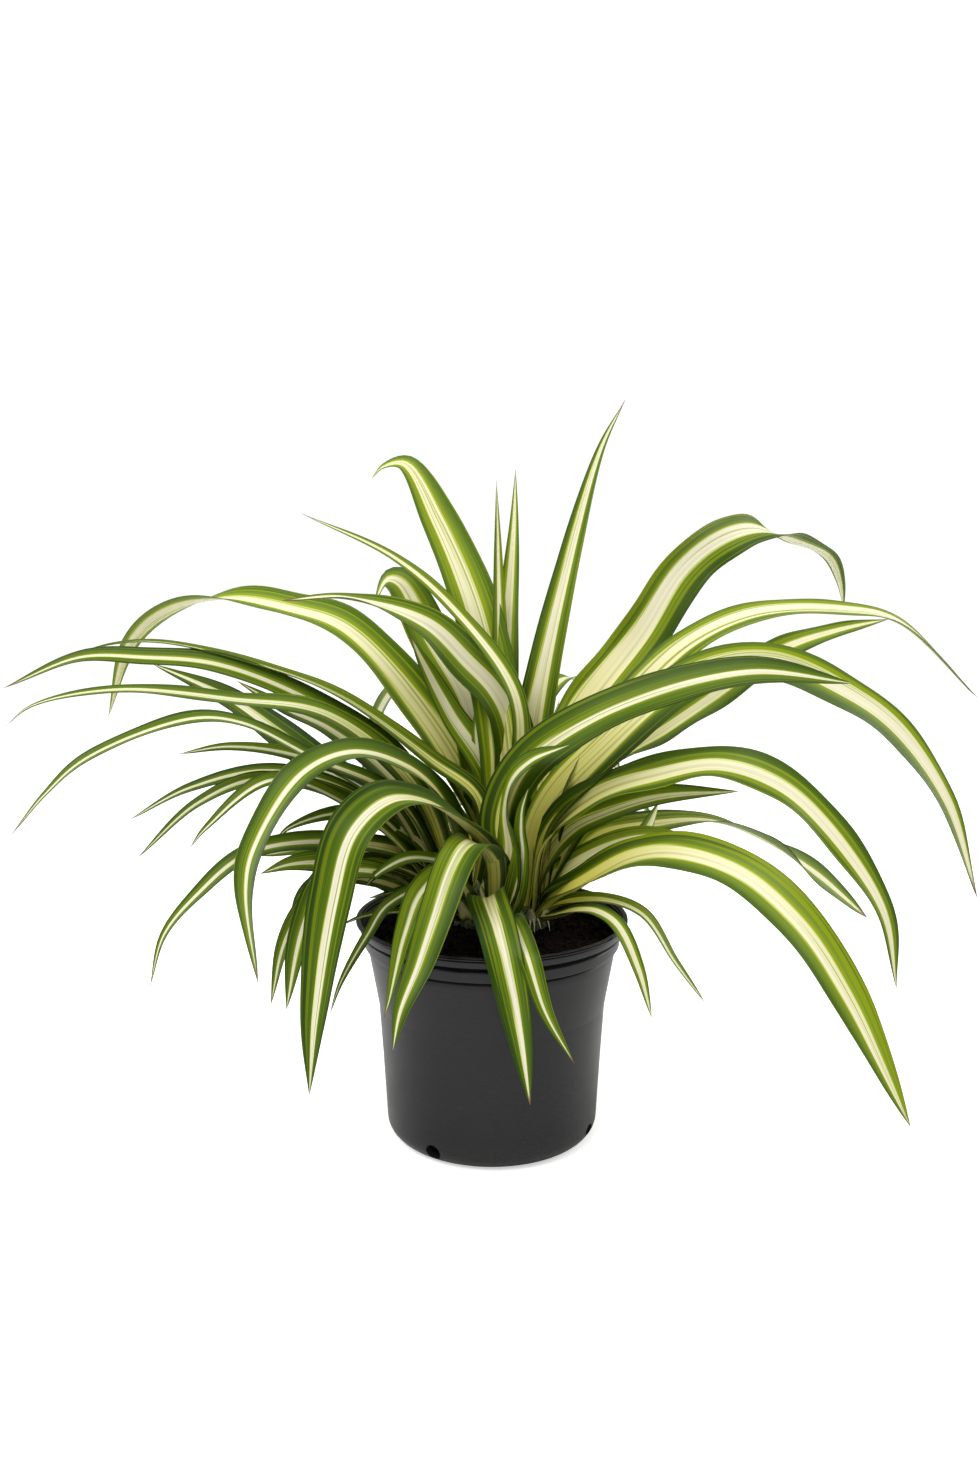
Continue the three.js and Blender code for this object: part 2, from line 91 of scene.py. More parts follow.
# ---------------------------------------------------------------- the leaves
# One row is one leaf:
#   [heading, width, taper, roll at its base, roll at its tip, [reach, height], ...].
#   heading       degrees from +X towards +Y in which the leaf leaves its crown
#   width         of the blade at its widest
#   taper         the higher, the later the blade narrows to its point
#   roll          degrees that the blade turns about its own midrib, to the right as seen
#                 from the crown
#   reach, height points that the midrib passes, out from the crown and up from z = 0. A third
#                 number is how far a point lies to the right, as seen from the crown
# A crown also has the ranges from which each of its leaves draws the share of its half width that
# the cream core takes (stripe), and how light and yellow its green is, from 0 to 1
# (fresh_and_lit). That is partly how young the leaf is, and partly painted light and shade.
CROWNS = {
  "centre": {"x": 6, "y": 34, "stripe": (0.26, 0.38), "fresh_and_lit": (0.4, 0.9), "leaves": [
    [35, 29, 1.9, 50, 35, [17, 197], [28, 260], [50, 341], [76, 415], [96, 447]],
    [75, 25, 2.4, 20, -10, [7, 190, -2], [15, 240, -3], [24, 310, -2], [31, 370], [34, 403]],
    [100, 20, 2, -20, 20, [3, 190], [6, 270], [12, 340], [18, 396]],
    [150, 33, 5.2, -50, -45, [-2, 225], [6, 274], [20, 323], [45, 373], [69, 407], [87, 405],
     [95, 398]],
    [165, 16, 2.4, -40, -40, [-14, 225, -8], [-11, 270, -12], [28, 320, -10], [67, 350, -6],
     [129, 376, -2]],
    [171, 34, 4, -50, -25, [14, 196], [50, 257], [97, 307], [133, 319], [174, 325], [213, 316],
     [240, 294], [258, 246]],
    [205, 28, 5, -105, -80, [-2, 167], [-7, 204], [-9, 232], [-4, 253], [6, 270], [23, 287],
     [50, 312], [100, 329], [138, 328]],
    [155, 31, 9, -50, -45, [16, 236], [25, 262], [49, 299], [70, 333], [80, 335], [90, 318]],
    [184, 24, 5, -55, -50, [6, 211], [32, 255], [50, 290], [56, 303]],
    [175, 15, 2.5, -85, -85, [4, 190], [9, 216], [15, 240], [12, 276]],
    [60, 15, 2, 20, 10, [30, 180], [51, 203], [69, 237], [79, 254]],
  ]},
  "right": {"x": 24, "y": 14, "stripe": (0.2, 0.34), "fresh_and_lit": (0.3, 0.7), "leaves": [
    [-4, 31, 5.5, 55, 45, [6, 188], [46, 237], [96, 279], [140, 289], [188, 270], [217, 249],
     [248, 207], [270, 147]],
    [14, 27, 5, 50, 20, [22, 213], [68, 268], [102, 298], [145, 315], [205, 316], [244, 308],
     [305, 256]],
    [38, 34, 4.5, 5, 70, [25, 232], [95, 302], [128, 338], [164, 358], [201, 365], [243, 356],
     [278, 344], [291, 325], [296, 304]],
    [28, 23, 5, -20, 48, [49, 215], [98, 240], [133, 257], [190, 286], [237, 297], [286, 303]],
    [-27, 27, 5, 42, 38, [8, 180], [40, 211], [78, 227], [118, 237], [153, 229], [179, 209],
     [213, 164], [222, 120]],
    [4, 20, 4, 45, 40, [15, 166], [42, 202], [79, 217], [116, 221]],
    [-8, 26, 3, 45, 40, [6, 164], [23, 187], [46, 199], [78, 209], [125, 213]],
    [24, 24, 9, 40, -6, [20, 150], [48, 176], [84, 181], [133, 179], [177, 160], [217, 133],
     [262, 96]],
    [-18, 22, 4, 45, 40, [6, 147], [24, 163], [55, 181], [79, 186], [115, 179]],
    [-42, 29, 6, 38, 30, [15, 145], [35, 158], [75, 182], [108, 190], [148, 186], [184, 166],
     [214, 133], [252, 72]],
    [-12, 12.5, 5, 20, 15, [18, 140], [47, 144], [70, 136], [90, 107], [108, 83]],
    [-47, 12, 5, 15, 12, [22, 136], [38, 143], [56, 146], [72, 141], [88, 119], [99, 92]],
    [15, 18, 8, -60, -60, [20, 143], [36, 153], [55, 164], [74, 179], [83, 197]],
  ]},
  "left": {"x": -14, "y": 20, "stripe": (0.13, 0.24), "fresh_and_lit": (0.0, 0.3), "leaves": [
    [177, 15, 5, -50, -5, [-7, 202], [22, 227], [76, 266], [118, 283], [186, 299], [218, 298],
     [244, 291]],
    [180, 18, 6, -45, -40, [42, 226], [97, 265], [152, 287], [196, 291], [235, 291], [282, 272]],
    [188, 22, 3, -45, -20, [30, 206], [84, 257], [142, 268], [208, 275], [257, 266], [272, 254]],
    [155, 28, 4, -45, -30, [20, 166], [73, 195], [137, 234], [176, 255], [239, 275]],
    [165, 25, 4, -40, -20, [44, 207], [89, 242], [121, 255], [153, 271]],
    [201, 16, 5, -30, -20, [44, 206], [97, 236], [138, 259], [167, 263], [225, 244], [248, 225],
     [267, 203]],
    [194, 15, 5, -30, -30, [55, 210], [102, 234], [143, 242], [173, 239]],
    [186, 15, 5, -30, -30, [55, 197], [116, 223], [168, 214], [205, 195]],
    [196, 14, 5, -30, -30, [55, 195], [124, 223], [163, 211], [199, 180]],
    [208, 14, 5, -30, -30, [60, 193], [125, 228], [165, 204], [175, 193]],
    [216, 29, 5, -44, -10, [7, 181], [20, 208], [42, 228], [81, 242], [115, 233], [146, 195],
     [152, 171], [146, 116]],
    [203, 19, 2.8, -30, -30, [32, 168], [88, 185], [138, 183], [168, 162], [188, 140], [197, 110]],
    [192, 17, 3, -45, -45, [31, 178], [74, 198], [109, 191], [120, 182]],
    [178, 21, 4, -50, -40, [37, 159], [87, 173], [125, 167], [132, 166]],
    [206, 15.5, 3, -30, -30, [57, 157], [96, 164], [109, 155], [117, 124]],
    [218, 18, 6, -30, -30, [62, 167], [102, 171], [120, 143], [131, 98]],
    [222, 15, 4, -35, -25, [7, 159], [29, 170], [49, 174], [70, 169], [80, 163]],
    [192, 23, 4, -50, -40, [56, 158], [90, 168], [110, 168], [128, 163]],
    [184, 11, 3, -30, -30, [55, 203], [97, 229], [122, 233]],
    [215, 10, 3, -10, -10, [36, 138], [55, 141], [75, 142], [92, 139]],
    [176, 11, 3, 20, 20, [43, 179], [70, 203], [81, 213], [104, 219]],
    [210, 9, 3, -30, -20, [28, 149], [41, 152], [70, 150]],
    [209, 16, 4, -30, -25, [30, 156], [62, 172], [90, 168], [112, 150], [120, 133]],
    [213, 18, 4, -30, -25, [34, 156], [66, 171], [93, 166], [114, 151], [126, 133], [135, 98]],
  ]},
  "front": {"x": 2, "y": -8, "stripe": (0.14, 0.22), "fresh_and_lit": (0.0, 0.3), "leaves": [
    [-14, 30, 6, 85, 45, [6, 170], [4, 194], [10, 216], [24, 236], [56, 259], [99, 278], [150, 290],
     [202, 285]],
    [-78, 24, 4, 10, 10, [6, 142, 3], [18, 156, 8], [36, 160, 13], [62, 151, 13], [79, 137, 12],
     [89, 101, 6.5], [93, 58, 0.5]],
    [-70, 15, 3.6, 15, 10, [20, 140], [55, 148, 8], [72, 141, 9], [81, 137, 10], [92, 110, 4.5],
     [100, 82, -9]],
    [222, 30, 5, -10, -30, [3, 176], [22, 198], [52, 217], [80, 222], [106, 207], [120, 172],
     [133, 107], [137, 64]],
    [244, 23, 5, -5, -20, [-8, 150], [2, 172], [22, 188], [46, 192, -4], [68, 185, -7],
     [88, 160, -6], [101, 139, -4], [117, 117, -1], [124, 98]],
    [233, 17, 3, -20, -30, [43, 175], [70, 169], [84, 149], [98, 112], [102, 104]],
    [217, 10, 3, -20, -30, [38, 163], [76, 158], [90, 143], [108, 119], [116, 101]],
    [-35, 28, 3, 100, 50, [8.5, 178], [5, 201], [10, 221], [24, 235], [51, 247]],
    [-40, 16, 3, 110, 90, [14, 150], [20, 178], [19, 193], [20, 206], [25, 219]],
  ]},
  "back": {"x": 2, "y": 58, "stripe": (0.2, 0.32), "fresh_and_lit": (0.3, 0.7), "leaves": [
    [62, 22, 3.6, 10, 0, [16, 195], [58, 246], [112, 262], [170, 232], [214, 160]],
    [92, 24, 3.6, 0, 10, [14, 205], [44, 262], [94, 286], [156, 262], [206, 186]],
    [120, 22, 3.6, 0, -10, [16, 200], [54, 250], [108, 264], [168, 234], [210, 158]],
    [40, 18, 3, 10, 10, [24, 168], [64, 196], [106, 196], [142, 166], [162, 126]],
    [148, 18, 3, -10, -10, [24, 172], [70, 208], [124, 216], [176, 186], [210, 134]],
    [76, 17, 3, 10, 0, [24, 165], [66, 190], [112, 172], [142, 118]],
    [106, 17, 3, -10, 0, [24, 165], [64, 186], [106, 166], [134, 112]],
    [52, 14, 3, 10, 0, [24, 150], [54, 164], [82, 150], [98, 116]],
    [134, 14, 3, -10, 0, [26, 150], [60, 164], [90, 148], [110, 108]],
  ]},
}

# Leaves whose ends twist: (crown, row from 0) and the degrees added to the roll
END_TWISTS = {("centre", 5): 60, ("centre", 6): 66, ("right", 2): -85, ("right", 7): 62}

# Leaves whose core is off to one side: (crown, row from 0), the share of the half width that the
# core takes, and how far its middle lies to the left of the midrib
STRIPES = {("right", 0): (0.36, 0.24), ("right", 1): (0.4, 0.2), ("right", 2): (0.34, 0.14),
           ("centre", 3): (0.34, 0.06), ("centre", 5): (0.32, 0.08)}

# Leaves whose margins are waved more than the rest, in millimetres: (crown, row from 0)
WAVED = {("right", 2): 2.2, ("right", 3): 1.6, ("right", 4): 1.4, ("centre", 6): 1.4}

# What grows at the foot of a crown takes its stripe and its green from these ranges.
SHEATH_LOOKS = {"stripe": (0.3, 0.6), "fresh_and_lit": (0.2, 0.6)}
ROOT_LOOKS = {"stripe": (1.4, 1.4), "fresh_and_lit": (0.0, 0.2)}


def srgb(red, green, blue, alpha=1.0):
    """A linear colour from the 0 to 255 numbers that a picture shows."""
    def linear(value):
        share = value / 255
        return share / 12.92 if share <= 0.04045 else ((share + 0.055) / 1.055) ** 2.4
    return (linear(red), linear(green), linear(blue), alpha)


# ---------------------------------------------------------------- camera, floor and light
def make_camera():
    """Stands 0.8 m in front of the pot's axis and looks a little down."""
    distance, left, height, pitch = 800, 1.13, 382.84, 9.68
    data = bpy.data.cameras.new("camera")
    data.sensor_fit = "VERTICAL"
    data.sensor_height = 36
    data.lens = 33.39
    camera = bpy.data.objects.new("camera", data)
    camera.location = (-left * mm, -distance * mm, height * mm)
    camera.rotation_euler = (math.radians(90 - pitch), 0, 0)
    bpy.context.scene.collection.objects.link(camera)
    bpy.context.scene.camera = camera


def make_floor():
    """A wide pale disc, as white as the room where the camera sees it far off."""
    radius_in_metres, sides = 30, 96
    pale, glow = (0.95, 0.95, 0.95, 1), 0.52
    material, nodes, shader = new_material("floor", roughness=0.9, specular=0.0)
    shader.inputs["Base Color"].default_value = pale
    shader.inputs["Emission Color"].default_value = (1, 1, 1, 1)
    seen = nodes.add("ShaderNodeLightPath").outputs["Is Camera Ray"]
    nodes.tree.links.new(nodes.times(seen, glow), shader.inputs["Emission Strength"])

    mesh = bpy.data.meshes.new("floor")
    shape = bmesh.new()
    bmesh.ops.create_circle(shape, cap_ends=True, segments=sides, radius=radius_in_metres)
    shape.to_mesh(mesh)
    shape.free()
    mesh.materials.append(material)
    floor = bpy.data.objects.new("floor", mesh)
    bpy.context.scene.collection.objects.link(floor)


def add_softbox(name, place, aim, size, power):
    """A rectangular soft light of that many watts at place, facing aim, all in metres."""
    data = bpy.data.lights.new(name, "AREA")
    data.shape = "RECTANGLE"
    data.size, data.size_y = size
    data.energy = power
    lamp = bpy.data.objects.new(name, data)
    lamp.location = place
    lamp.rotation_euler = (Vector(aim) - Vector(place)).to_track_quat("-Z", "Y").to_euler()
    bpy.context.scene.collection.objects.link(lamp)


def make_light():
    """A white room that mirrors dimly in the glossy surfaces, and four soft boxes."""
    in_view, on_surfaces, mirrored = 1.05, 0.56, 0.3
    world = bpy.data.worlds.new("studio")
    world.use_nodes = True
    nodes = Nodes(world.node_tree)
    sky = world.node_tree.nodes["Background"]
    sky.inputs["Color"].default_value = (1, 1, 1, 1)
    ray = nodes.add("ShaderNodeLightPath").outputs
    strength = nodes.math("MULTIPLY_ADD", ray["Is Camera Ray"], in_view - on_surfaces, on_surfaces)
    strength = nodes.math("MULTIPLY_ADD", ray["Is Glossy Ray"], mirrored - on_surfaces, strength)
    world.node_tree.links.new(strength, sky.inputs["Strength"])
    bpy.context.scene.world = world
    add_softbox("key", place=(-0.7, -0.9, 1.7), aim=(0, 0, 0.2), size=(1.0, 0.8), power=19)
    add_softbox("top", place=(0.2, 0.4, 1.7), aim=(0, 0, 0.25), size=(1.2, 1.2), power=6)
    for name, x in (("rim_right", 1.2), ("rim_left", -1.2)):
        add_softbox(name, place=(x, 0.5, 0.6), aim=(0, 0, 0.15), size=(0.6, 1.4), power=9)
    bpy.context.scene.view_settings.view_transform = "Standard"


# ---------------------------------------------------------------- node helpers
class Nodes:
    """Adds nodes to one tree. An input is given by its name or number, as a value or a socket."""

    def __init__(self, tree):
        self.tree = tree

    def add(self, kind, inputs=None, **settings):
        node = self.tree.nodes.new(kind)
        for name, value in settings.items():
            setattr(node, name, value)
        for key, value in (inputs or {}).items():
            if isinstance(value, bpy.types.NodeSocket):
                self.tree.links.new(value, node.inputs[key])
            else:
                node.inputs[key].default_value = value
        return node

    def math(self, operation, *values, clamp=False):
        settings = {"operation": operation, "use_clamp": clamp}
        return self.add("ShaderNodeMath", dict(enumerate(values)), **settings).outputs[0]

    def times(self, first, second):
        return self.math("MULTIPLY", first, second)

    def vector(self, operation, *values):
        node = self.add("ShaderNodeVectorMath", dict(enumerate(values)), operation=operation)
        return node.outputs[1 if operation in ("DOT_PRODUCT", "LENGTH") else 0]

    def scaled(self, direction, length):
        inputs = {"Vector": direction, "Scale": length}
        return self.add("ShaderNodeVectorMath", inputs, operation="SCALE").outputs[0]

    def ramp(self, value, low, high, to_low=0.0, to_high=1.0):
        """Smooth step of value from low to high."""
        inputs = {"Value": value, "From Min": low, "From Max": high,
                  "To Min": to_low, "To Max": to_high}
        node = self.add("ShaderNodeMapRange", inputs, interpolation_type="SMOOTHSTEP")
        return node.outputs["Result"]

    def blend(self, share, first, second):
        """Colour between first and second."""
        node = self.add("ShaderNodeMix", {0: share, 6: first, 7: second}, data_type="RGBA")
        return node.outputs[2]

    def tint(self, colour, other, value, low, high, most):
        """The colour, turned towards another by up to most as value goes from low to high."""
        return self.blend(self.times(self.ramp(value, low, high), most), colour, other)

    def noise(self, vector, scale, detail=2.0):
        inputs = {"Vector": vector, "Scale": scale, "Detail": detail}
        return self.add("ShaderNodeTexNoise", inputs).outputs[0]

    def combine(self, x, y, z):
        return self.add("ShaderNodeCombineXYZ", {0: x, 1: y, 2: z}).outputs[0]

    def separate(self, vector):
        return self.add("ShaderNodeSeparateXYZ", {0: vector}).outputs


def new_group(name, kind, inputs, outputs):
    """A node group whose sockets are given as (name, type), with its helper and its two ends."""
    tree = bpy.data.node_groups.new(name, kind)
    for side, sockets in (("INPUT", inputs), ("OUTPUT", outputs)):
        for label, socket in sockets:
            tree.interface.new_socket(label, in_out=side, socket_type="NodeSocket" + socket)
    nodes = Nodes(tree)
    return tree, nodes, nodes.add("NodeGroupInput").outputs, nodes.add("NodeGroupOutput").inputs


def run_tree(tree, source, values):
    """Runs a geometry node tree on a mesh, with its inputs by name, and returns the plain mesh."""
    carrier = bpy.data.objects.new(source.name, source)
    bpy.context.scene.collection.objects.link(carrier)
    modifier = carrier.modifiers.new("nodes", "NODES")
    modifier.node_group = tree
    for item in tree.interface.items_tree:
        if item.in_out == "INPUT" and item.name in values:
            modifier[item.identifier] = values[item.name]
    evaluated = carrier.evaluated_get(bpy.context.evaluated_depsgraph_get())
    mesh = bpy.data.meshes.new_from_object(evaluated)
    bpy.data.objects.remove(carrier)
    return mesh


def add_piece(name, mesh, slot, *nodes):
    """Puts a finished mesh in the scene as a piece that stands for those CAD nodes."""
    mesh.name = name
    piece = bpy.data.objects.new(name, mesh)
    bpy.context.scene.collection.objects.link(piece)
    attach(piece, "root")
    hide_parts(*nodes)


# ---------------------------------------------------------------- materials
def grain_group():
    """Uneven speckle over the surface: a mask, and a height for bumps."""
    tree, nodes, given, result = new_group(
        "grain", "ShaderNodeTree",
        [("Size", "Float"), ("Contrast", "Float"), ("Offset", "Vector")],
        [("Mask", "Float"), ("Height", "Float")])
    place = nodes.add("ShaderNodeTexCoord").outputs["Object"]
    place = nodes.vector("ADD", place, given["Offset"])
    scale = nodes.math("DIVIDE", 1.0, given["Size"])
    fine = nodes.noise(place, scale, detail=4.0)
    spread = nodes.math("SUBTRACT", fine, 0.5)
    spread = nodes.times(spread, given["Contrast"])
    mask = nodes.math("ADD", spread, 0.5, clamp=True)
    tree.links.new(mask, result["Mask"])
    tree.links.new(fine, result["Height"])
    return tree


def use_grain(nodes, size, contrast, offset=(0, 0, 0)):
    """The mask and the height of a grain whose speckles are about size across, in metres."""
    node = nodes.add("ShaderNodeGroup", node_tree=GRAIN)
    node.inputs["Size"].default_value = size
    node.inputs["Contrast"].default_value = contrast
    node.inputs["Offset"].default_value = offset
    return node.outputs["Mask"], node.outputs["Height"]


def new_material(name, roughness=0.5, specular=0.5):
    """A material, the helper for its nodes and its Principled shader."""
    material = bpy.data.materials.new(name)
    material.use_nodes = True
    shader = material.node_tree.nodes["Principled BSDF"]
    shader.inputs["Roughness"].default_value = roughness
    shader.inputs["Specular IOR Level"].default_value = specular
    return material, Nodes(material.node_tree), shader


def add_bumps(nodes, shader, height, strength, depth):
    """Bumps after height, at most depth deep, in metres."""
    inputs = {"Strength": strength, "Distance": depth, "Height": height}
    bump = nodes.add("ShaderNodeBump", inputs)
    nodes.tree.links.new(bump.outputs[0], shader.inputs["Normal"])


# The green and the cream of a leaf both take this, and so does the band between them.
LIME = srgb(152, 168, 10)


def leaf_streaks(nodes, along, across, tone):
    """Long streaks and finer threads, which keep their place across the blade."""
    # how close they lie across the blade and change along it, and their detail
    streaks, threads, seed_spread = (9.0, 1.1, 2.0), (34.0, 1.6, 1.0), 57.0
    seed = nodes.times(tone, seed_spread)
    found = []
    for close_across, close_along, detail in (streaks, threads):
        x, y = nodes.times(across, close_across), nodes.times(along, close_along)
        found.append(nodes.noise(nodes.combine(x, y, seed), 1.0, detail))
    return found


def leaf_green(nodes, off, low, fresh_and_lit, streak, thread):
    """Green deepening to the margin, painted shade low down, painted sheen where seen edge on."""
    deep, mid, shaded = srgb(32, 58, 0), srgb(68, 96, 0), srgb(24, 46, 0)
    lit_fresh_deep, lit_fresh_mid, painted_sheen = srgb(92, 120, 26), srgb(142, 166, 54), srgb(112, 136, 74)
    margin = nodes.ramp(off, 0.4, 0.95)
    green = nodes.blend(margin, mid, deep)
    # partly painted light and shade: young leaves in the light get the lighter greens
    green = nodes.blend(fresh_and_lit, green, nodes.blend(margin, lit_fresh_mid, lit_fresh_deep))
    green = nodes.blend(nodes.times(low, 0.8), green, shaded)
    green = nodes.tint(green, deep, thread, 0.4, 0.75, most=0.3)
    streaky = nodes.math("MULTIPLY_ADD", fresh_and_lit, 0.5, 0.3)
    green = nodes.tint(green, LIME, streak, 0.54, 0.62, most=streaky)
    # painted sheen: the green turns grey-green where the blade is seen edge on
    grazing = nodes.add("ShaderNodeLayerWeight", {"Blend": 0.4}).outputs["Facing"]
    return nodes.tint(green, painted_sheen, grazing, 0.4, 1.0, most=0.55)


def leaf_cream(nodes, across, low, fresh_and_lit, bleach, streak, thread):
    """Cream that yellows low down, with lime veins, yellow threads and an olive midrib."""
    cream, lit_fresh_cream, warm_cream = srgb(238, 232, 212), srgb(252, 248, 200), srgb(222, 214, 98)
    olive, midrib = srgb(128, 132, 10), 0.1
    # partly painted light and shade: the cream of young leaves in the light is lighter and yellower
    light = nodes.blend(low, nodes.blend(fresh_and_lit, cream, lit_fresh_cream), warm_cream)
    veined = nodes.ramp(bleach, 1.0, 0.0, 0.15, 0.9)
    light = nodes.tint(light, LIME, streak, 0.54, 0.64, most=veined)
    light = nodes.tint(light, warm_cream, thread, 0.5, 0.75, most=0.35)
    marked = nodes.math("MULTIPLY_ADD", low, 0.5, 0.15)
    return nodes.tint(light, olive, nodes.math("ABSOLUTE", across), midrib, 0.0, most=marked)


def leaf_material():
    """Green margins, then lime, a pale yellow line and a cream core, all with fine lines."""
    pale_line, under_grey, brown = srgb(222, 228, 122), srgb(136, 150, 104), srgb(120, 92, 52)
    # widths across the blade, as shares of its half width
    drift_width, ragged, lime_band, line_band = 0.12, 0.2, 0.24, 0.06
    material, nodes, shader = new_material("leaf", specular=0.15)

    def attribute(name, output="Fac"):
        return nodes.add("ShaderNodeAttribute", attribute_name=name).outputs[output]

    across, along, side = attribute("across"), attribute("along"), attribute("side")
    share, shift, tone = nodes.separate(attribute("stripe", "Vector"))
    # the first of these is partly how young the leaf is and partly painted light and shade
    fresh_and_lit, bleach, age = nodes.separate(attribute("finish", "Vector"))
    streak, thread = leaf_streaks(nodes, along, across, tone)
    low = nodes.ramp(along, 0.55, 0.1)
    is_under = nodes.ramp(side, 0.0, -0.15)

    # off is the distance from the middle of the core, which drifts a little along the blade
    drift = nodes.noise(nodes.combine(nodes.times(along, 5.0), tone, shift), 1.0, 1.0)
    drift = nodes.times(nodes.math("SUBTRACT", drift, 0.5), drift_width)
    place = nodes.math("ADD", nodes.math("ADD", across, shift), drift)
    off = nodes.math("ABSOLUTE", place)

    # the core is wider low down and on the underside, and streaks make its edge ragged
    share = nodes.times(share, nodes.math("MULTIPLY_ADD", low, 0.7, 1.0))
    share = nodes.times(share, nodes.math("MULTIPLY_ADD", is_under, 0.5, 1.0))
    edge = nodes.math("ADD", share, nodes.times(nodes.math("SUBTRACT", streak, 0.5), ragged))
    past = nodes.math("SUBTRACT", off, edge)
    limed, lined = nodes.ramp(fresh_and_lit, 0.0, 1.0, 0.25, 0.9), nodes.ramp(streak, 0.35, 0.6, 0.5, 1.0)

    colour = leaf_green(nodes, off, low, fresh_and_lit, streak, thread)
    colour = nodes.tint(colour, LIME, past, lime_band, 0.02, most=limed)
    colour = nodes.tint(colour, pale_line, past, line_band, 0.0, most=lined)
    light = leaf_cream(nodes, across, low, fresh_and_lit, bleach, streak, thread)
    colour = nodes.blend(nodes.ramp(past, 0.02, -0.04), colour, light)
    colour = nodes.blend(nodes.times(is_under, 0.16), colour, under_grey)
    aged = nodes.ramp(age, 0.45, 0.6)
    colour = nodes.tint(colour, brown, along, 0.955, 0.995, most=aged)
    nodes.tree.links.new(colour, shader.inputs["Base Color"])

    mask, height = use_grain(nodes, size=0.004, contrast=1.5)
    rough = nodes.math("MULTIPLY_ADD", mask, 0.12, 0.36)
    nodes.tree.links.new(rough, shader.inputs["Roughness"])
    ribs = nodes.math("ADD", thread, nodes.times(height, 0.15))
    add_bumps(nodes, shader, ribs, strength=0.35, depth=0.0004)
    return material


def crown_material():
    """Leaf bases: dull green with paler lines, and brown low down."""
    pale, green, brown = srgb(104, 112, 62), srgb(52, 70, 18), srgb(34, 24, 16)
    lines_per_metre, stretch = 900.0, 0.12
    brown_from, brown_to = soil_top + 6, soil_top - 1
    material, nodes, shader = new_material("leaf bases", roughness=0.55)
    x, y, height = nodes.separate(nodes.add("ShaderNodeTexCoord").outputs["Object"])
    stretched = nodes.combine(x, y, nodes.times(height, stretch))
    lines = nodes.noise(stretched, lines_per_metre)
    colour = nodes.blend(nodes.ramp(lines, 0.35, 0.65), green, pale)
    patches, _ = use_grain(nodes, size=0.003, contrast=3.0)
    colour = nodes.tint(colour, brown, height, brown_from * mm, brown_to * mm, most=patches)
    nodes.tree.links.new(colour, shader.inputs["Base Color"])
    add_bumps(nodes, shader, lines, strength=0.5, depth=0.0005)
    return material


def pot_material():
    """Charcoal moulded plastic: faint mould rings, dark grooves, fine grain, dust low down."""
    plastic, worn, dust, painted_groove_shade = srgb(16, 16, 17), srgb(26, 26, 27), srgb(84, 80, 74), srgb(1, 1, 1)
    dusty_from, dusty_to, ring_pitch, groove_core = 20, 1, 1.4, 0.6
    material, nodes, shader = new_material("pot plastic", specular=0.36)
    height = nodes.separate(nodes.add("ShaderNodeTexCoord").outputs["Object"])[2]
    patches, _ = use_grain(nodes, size=0.05, contrast=2.2)
    grit, fine = use_grain(nodes, size=0.0009, contrast=3.0, offset=(3, 1, 2))
    colour = nodes.blend(nodes.times(patches, 0.35), plastic, worn)
    low = nodes.ramp(height, dusty_from * mm, dusty_to * mm)
    colour = nodes.blend(nodes.times(nodes.times(low, grit), 0.25), colour, dust)

    rough = nodes.math("MULTIPLY_ADD", patches, 0.14, 0.3)
    # painted shade: each groove darkens to near black about its height
    for middle, reach in GROOVES:
        away = nodes.math("ABSOLUTE", nodes.math("SUBTRACT", height, middle * mm))
        groove = nodes.ramp(away, reach * mm, reach * groove_core * mm)
        colour = nodes.blend(groove, colour, painted_groove_shade)
        rough = nodes.math("MAXIMUM", rough, groove)
    nodes.tree.links.new(colour, shader.inputs["Base Color"])
    nodes.tree.links.new(rough, shader.inputs["Roughness"])

    rings = nodes.math("SINE", nodes.times(height, 2 * math.pi / (ring_pitch * mm)))
    relief = nodes.math("ADD", nodes.times(rings, 0.25), fine)
    add_bumps(nodes, shader, relief, strength=0.12, depth=0.0003)
    return material


def soil_material():
    """Nearly black peat with a reddish tint and a few paler fibres."""
    black, russet, fibre = srgb(4, 1, 2), srgb(16, 4, 5), srgb(44, 28, 22)
    material, nodes, shader = new_material("soil", roughness=0.95, specular=0.1)
    clods, rise = use_grain(nodes, size=0.006, contrast=2.5)
    bits, fine = use_grain(nodes, size=0.0016, contrast=5.0, offset=(5, 2, 7))
    colour = nodes.blend(clods, black, russet)
    colour = nodes.tint(colour, fibre, bits, 0.8, 1.0, most=0.3)
    nodes.tree.links.new(colour, shader.inputs["Base Color"])
    relief = nodes.math("ADD", rise, nodes.times(fine, 0.5))
    add_bumps(nodes, shader, relief, strength=0.8, depth=0.001)
    return material


# ---------------------------------------------------------------- leaves
def along_curve(through, spans=14):
    """Points close together on the centripetal Catmull-Rom curve through the given ones."""
    points = [np.array(p, float) for p in through]
    points = [2 * points[0] - points[1], *points, 2 * points[-1] - points[-2]]
    found = []
    for p0, p1, p2, p3 in zip(points, points[1:], points[2:], points[3:]):
        d0, d1, d2 = (max(np.linalg.norm(b - a), 1e-4) ** 0.5
                      for a, b in ((p0, p1), (p1, p2), (p2, p3)))
        out = ((p1 - p0) / d0 - (p2 - p0) / (d0 + d1) + (p2 - p1) / d1) * d1
        end = ((p2 - p1) / d1 - (p3 - p1) / (d1 + d2) + (p3 - p2) / d2) * d1
        for step in range(spans):
            t = step / spans
            found.append(p1 + out * t + (3 * (p2 - p1) - 2 * out - end) * t * t
                         + (2 * (p1 - p2) + out + end) * t ** 3)
    return found + [points[-2]]


def sheaths(name):
    """Rows for the short blades that clasp the foot of a crown."""
    count, stray, taper = 9, 14, 3
    lowest, highest = 16, 34
    narrowest, widest = 8, 12
    draw = random.Random(f"{name} sheaths")
    rows = []
    for i in range(count):
        heading = 360 / count * i + draw.uniform(-stray, stray)
        rise = draw.uniform(lowest, highest)
        foot, bend = [8.5, soil_top + 7], [11, soil_top + 0.6 * rise]
        tip = [10 + 0.35 * rise, soil_top + rise]
        rows.append([heading, draw.uniform(narrowest, widest), taper, 0, 0, foot, bend, tip])
    return rows


